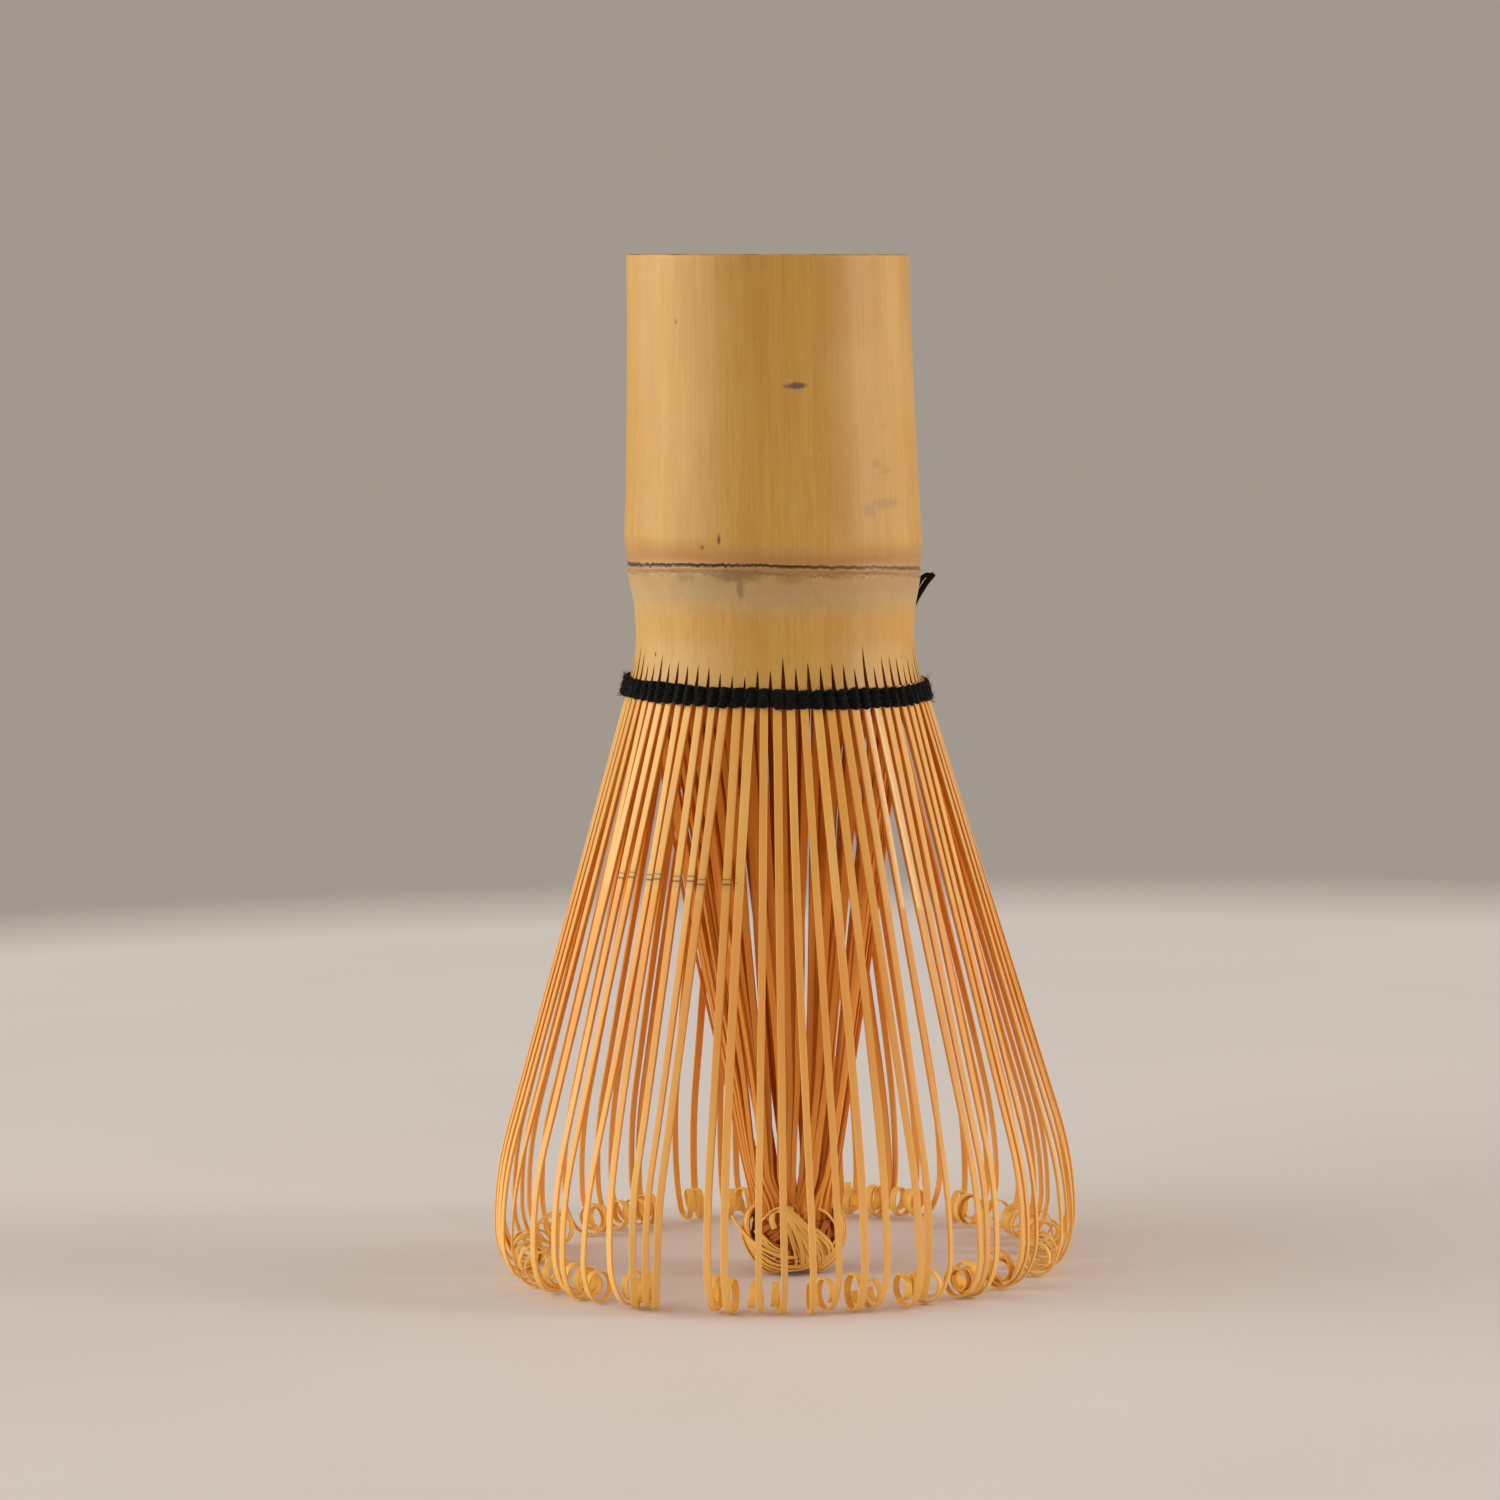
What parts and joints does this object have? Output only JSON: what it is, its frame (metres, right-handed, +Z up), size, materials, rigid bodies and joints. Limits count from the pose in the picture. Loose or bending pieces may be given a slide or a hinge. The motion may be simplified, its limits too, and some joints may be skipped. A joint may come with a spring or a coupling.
{
  "type": "bamboo tea whisk",
  "caption": "Bamboo tea whisk with a hollow culm handle, springy outer tines with curled tips, a cone of inner tines twisted into a bun, and a black thread binding.",
  "frame": {"origin": "on the floor under the handle's axis, level with the feet of the outer tines", "axes": "+Z up the handle's axis, -Y the front of the whisk"},
  "size_m": [0.0608, 0.0608, 0.1055],
  "materials": {
    "bamboo_culm": "smooth natural skin, satin",
    "bamboo_tine": "shaved bamboo, satin",
    "thread": "matte spun cotton"
  },
  "bodies": {
    "whisk_core": {"handle_culm": "bamboo_culm", "outer_tine_roots": "bamboo_tine", "inner_tines_01": "bamboo_tine", "inner_tines_02": "bamboo_tine", "inner_tines_03": "bamboo_tine", "inner_tines_04": "bamboo_tine", "inner_tines_05": "bamboo_tine", "inner_tines_06": "bamboo_tine", "inner_tines_07": "bamboo_tine", "inner_tines_08": "bamboo_tine", "inner_tines_09": "bamboo_tine", "inner_tines_10": "bamboo_tine", "inner_tines_11": "bamboo_tine", "inner_tines_12": "bamboo_tine", "inner_tines_13": "bamboo_tine", "inner_tines_14": "bamboo_tine", "inner_tines_15": "bamboo_tine", "inner_tines_16": "bamboo_tine", "inner_tines_17": "bamboo_tine", "inner_tines_18": "bamboo_tine", "tip_bun": "bamboo_tine", "thread_row_lower": "thread", "thread_row_middle": "thread", "thread_row_upper": "thread", "thread_knot": "thread", "thread_tail": "thread"},
    "tine_sector_01": {"outer_tines_01": "bamboo_tine"},
    "tine_sector_02": {"outer_tines_02": "bamboo_tine"},
    "tine_sector_03": {"outer_tines_03": "bamboo_tine"},
    "tine_sector_04": {"outer_tines_04": "bamboo_tine"},
    "tine_sector_05": {"outer_tines_05": "bamboo_tine"},
    "tine_sector_06": {"outer_tines_06": "bamboo_tine"},
    "tine_sector_07": {"outer_tines_07": "bamboo_tine"},
    "tine_sector_08": {"outer_tines_08": "bamboo_tine"},
    "tine_sector_09": {"outer_tines_09": "bamboo_tine"},
    "tine_sector_10": {"outer_tines_10": "bamboo_tine"},
    "tine_sector_11": {"outer_tines_11": "bamboo_tine"},
    "tine_sector_12": {"outer_tines_12": "bamboo_tine"},
    "tine_sector_13": {"outer_tines_13": "bamboo_tine"},
    "tine_sector_14": {"outer_tines_14": "bamboo_tine"},
    "tine_sector_15": {"outer_tines_15": "bamboo_tine"},
    "tine_sector_16": {"outer_tines_16": "bamboo_tine"},
    "tine_sector_17": {"outer_tines_17": "bamboo_tine"},
    "tine_sector_18": {"outer_tines_18": "bamboo_tine"}
  },
  "joints": [
    {"name": "tine_spring_01", "type": "hinge", "parent": "whisk_core", "child": "tine_sector_01", "pos_m": [0.00068, -0.01549, 0.05935], "axis": [-0.999, -0.0436, 0], "range_deg": [-3.5, 8], "stiffness_Nm_per_rad": 0.0085},
    {"name": "tine_spring_02", "type": "hinge", "parent": "whisk_core", "child": "tine_sector_02", "pos_m": [0.00593, -0.01432, 0.05935], "axis": [-0.9239, -0.3827, 0], "range_deg": [-3.5, 8], "stiffness_Nm_per_rad": 0.0085},
    {"name": "tine_spring_03", "type": "hinge", "parent": "whisk_core", "child": "tine_sector_03", "pos_m": [0.01047, -0.01143, 0.05935], "axis": [-0.7373, -0.6756, 0], "range_deg": [-3.5, 8], "stiffness_Nm_per_rad": 0.0085},
    {"name": "tine_spring_04", "type": "hinge", "parent": "whisk_core", "child": "tine_sector_04", "pos_m": [0.01375, -0.00716, 0.05935], "axis": [-0.4617, -0.887, 0], "range_deg": [-3.5, 8], "stiffness_Nm_per_rad": 0.0085},
    {"name": "tine_spring_05", "type": "hinge", "parent": "whisk_core", "child": "tine_sector_05", "pos_m": [0.01537, -0.00202, 0.05935], "axis": [-0.1305, -0.9914, 0], "range_deg": [-3.5, 8], "stiffness_Nm_per_rad": 0.0085},
    {"name": "tine_spring_06", "type": "hinge", "parent": "whisk_core", "child": "tine_sector_06", "pos_m": [0.01513, 0.00335, 0.05935], "axis": [0.2164, -0.9763, 0], "range_deg": [-3.5, 8], "stiffness_Nm_per_rad": 0.0085},
    {"name": "tine_spring_07", "type": "hinge", "parent": "whisk_core", "child": "tine_sector_07", "pos_m": [0.01307, 0.00833, 0.05935], "axis": [0.5373, -0.8434, 0], "range_deg": [-3.5, 8], "stiffness_Nm_per_rad": 0.0085},
    {"name": "tine_spring_08", "type": "hinge", "parent": "whisk_core", "child": "tine_sector_08", "pos_m": [0.00944, 0.0123, 0.05935], "axis": [0.7934, -0.6088, 0], "range_deg": [-3.5, 8], "stiffness_Nm_per_rad": 0.0085},
    {"name": "tine_spring_09", "type": "hinge", "parent": "whisk_core", "child": "tine_sector_09", "pos_m": [0.00466, 0.01478, 0.05935], "axis": [0.9537, -0.3007, 0], "range_deg": [-3.5, 8], "stiffness_Nm_per_rad": 0.0085},
    {"name": "tine_spring_10", "type": "hinge", "parent": "whisk_core", "child": "tine_sector_10", "pos_m": [-0.00068, 0.01549, 0.05935], "axis": [0.999, 0.0436, 0], "range_deg": [-3.5, 8], "stiffness_Nm_per_rad": 0.0085},
    {"name": "tine_spring_11", "type": "hinge", "parent": "whisk_core", "child": "tine_sector_11", "pos_m": [-0.00593, 0.01432, 0.05935], "axis": [0.9239, 0.3827, 0], "range_deg": [-3.5, 8], "stiffness_Nm_per_rad": 0.0085},
    {"name": "tine_spring_12", "type": "hinge", "parent": "whisk_core", "child": "tine_sector_12", "pos_m": [-0.01047, 0.01143, 0.05935], "axis": [0.7373, 0.6756, 0], "range_deg": [-3.5, 8], "stiffness_Nm_per_rad": 0.0085},
    {"name": "tine_spring_13", "type": "hinge", "parent": "whisk_core", "child": "tine_sector_13", "pos_m": [-0.01375, 0.00716, 0.05935], "axis": [0.4617, 0.887, 0], "range_deg": [-3.5, 8], "stiffness_Nm_per_rad": 0.0085},
    {"name": "tine_spring_14", "type": "hinge", "parent": "whisk_core", "child": "tine_sector_14", "pos_m": [-0.01537, 0.00202, 0.05935], "axis": [0.1305, 0.9914, 0], "range_deg": [-3.5, 8], "stiffness_Nm_per_rad": 0.0085},
    {"name": "tine_spring_15", "type": "hinge", "parent": "whisk_core", "child": "tine_sector_15", "pos_m": [-0.01513, -0.00335, 0.05935], "axis": [-0.2164, 0.9763, 0], "range_deg": [-3.5, 8], "stiffness_Nm_per_rad": 0.0085},
    {"name": "tine_spring_16", "type": "hinge", "parent": "whisk_core", "child": "tine_sector_16", "pos_m": [-0.01307, -0.00833, 0.05935], "axis": [-0.5373, 0.8434, 0], "range_deg": [-3.5, 8], "stiffness_Nm_per_rad": 0.0085},
    {"name": "tine_spring_17", "type": "hinge", "parent": "whisk_core", "child": "tine_sector_17", "pos_m": [-0.00944, -0.0123, 0.05935], "axis": [-0.7934, 0.6088, 0], "range_deg": [-3.5, 8], "stiffness_Nm_per_rad": 0.0085},
    {"name": "tine_spring_18", "type": "hinge", "parent": "whisk_core", "child": "tine_sector_18", "pos_m": [-0.00466, -0.01478, 0.05935], "axis": [-0.9537, 0.3007, 0], "range_deg": [-3.5, 8], "stiffness_Nm_per_rad": 0.0085}
  ]
}
